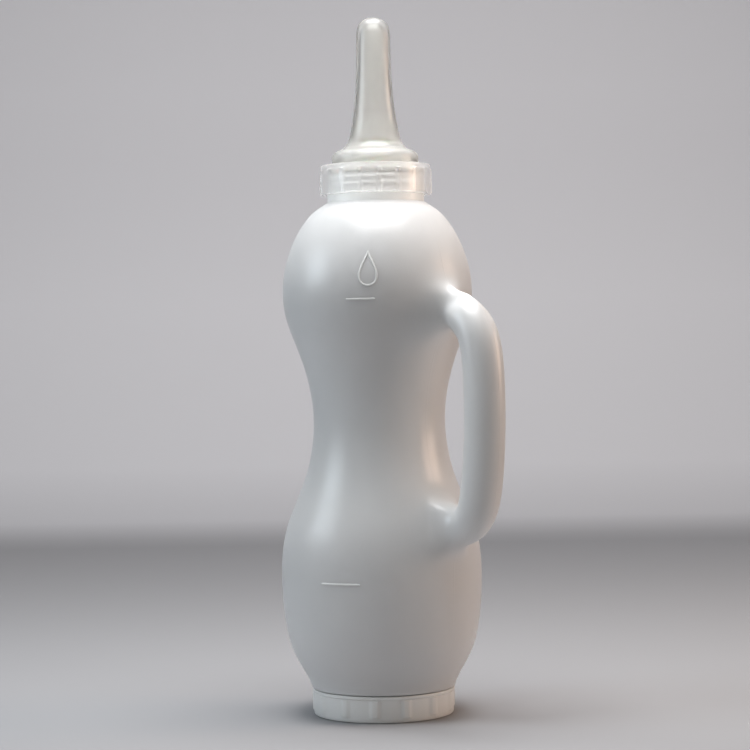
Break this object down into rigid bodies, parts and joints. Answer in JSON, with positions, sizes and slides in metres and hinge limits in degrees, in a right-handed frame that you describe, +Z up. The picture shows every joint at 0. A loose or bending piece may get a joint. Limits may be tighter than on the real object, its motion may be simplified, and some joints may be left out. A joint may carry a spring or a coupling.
{
  "type": "calf feeding bottle",
  "caption": "Hourglass blown bottle with a side handle, a screwed collar that clamps a long soft teat with a check valve under it, and a screwed base cap.",
  "frame": {"origin": "middle of the base cap's flat underside, on the bottle's axis", "axes": "+Z up the bottle's axis towards the teat, +X towards the handle, +Y to the left of someone who looks along +X"},
  "size_m": [0.1717, 0.1292, 0.4514],
  "materials": {
    "white_polyethylene": "satin, slightly pearly",
    "clear_polypropylene": "translucent, smooth",
    "silicone": "translucent, satin",
    "valve_plastic": "satin",
    "stainless_steel": "polished",
    "cap_polyethylene": "satin, slightly translucent",
    "seal_rubber": "matt"
  },
  "bodies": {
    "bottle": {"bottle_shell": "white_polyethylene"},
    "teat_unit": {"teat": "silicone", "valve_insert": "valve_plastic", "valve_cage": "valve_plastic"},
    "collar": {"screw_collar": "clear_polypropylene"},
    "ball": {"valve_ball": "stainless_steel"},
    "seal": {"base_seal": "seal_rubber"},
    "base": {"base_cap": "cap_polyethylene"}
  },
  "joints": [
    {"name": "collar_twist", "type": "hinge", "parent": "teat_unit", "child": "collar", "pos_m": [0, 0, 0.346], "axis": [0, 0, 1], "range_deg": [0, 720]},
    {"name": "teat_lift", "type": "slide", "parent": "bottle", "child": "teat_unit", "axis": [0, 0, 1], "range_m": [0, 0.0085]},
    {"name": "ball_travel", "type": "slide", "parent": "teat_unit", "child": "ball", "axis": [0, 0, 1], "range_m": [0, 0.0055]},
    {"name": "base_cap_twist", "type": "hinge", "parent": "seal", "child": "base", "pos_m": [0, 0, 0.01], "axis": [0, 0, -1], "range_deg": [0, 660]},
    {"name": "base_seal_drop", "type": "slide", "parent": "bottle", "child": "seal", "axis": [0, 0, -1], "range_m": [0, 0.0078]}
  ],
  "couplings": [
    {"joint": "teat_lift", "follows": "collar_twist", "m_per_rad": 0.00066845},
    {"joint": "base_seal_drop", "follows": "base_cap_twist", "m_per_rad": 0.00066845}
  ]
}
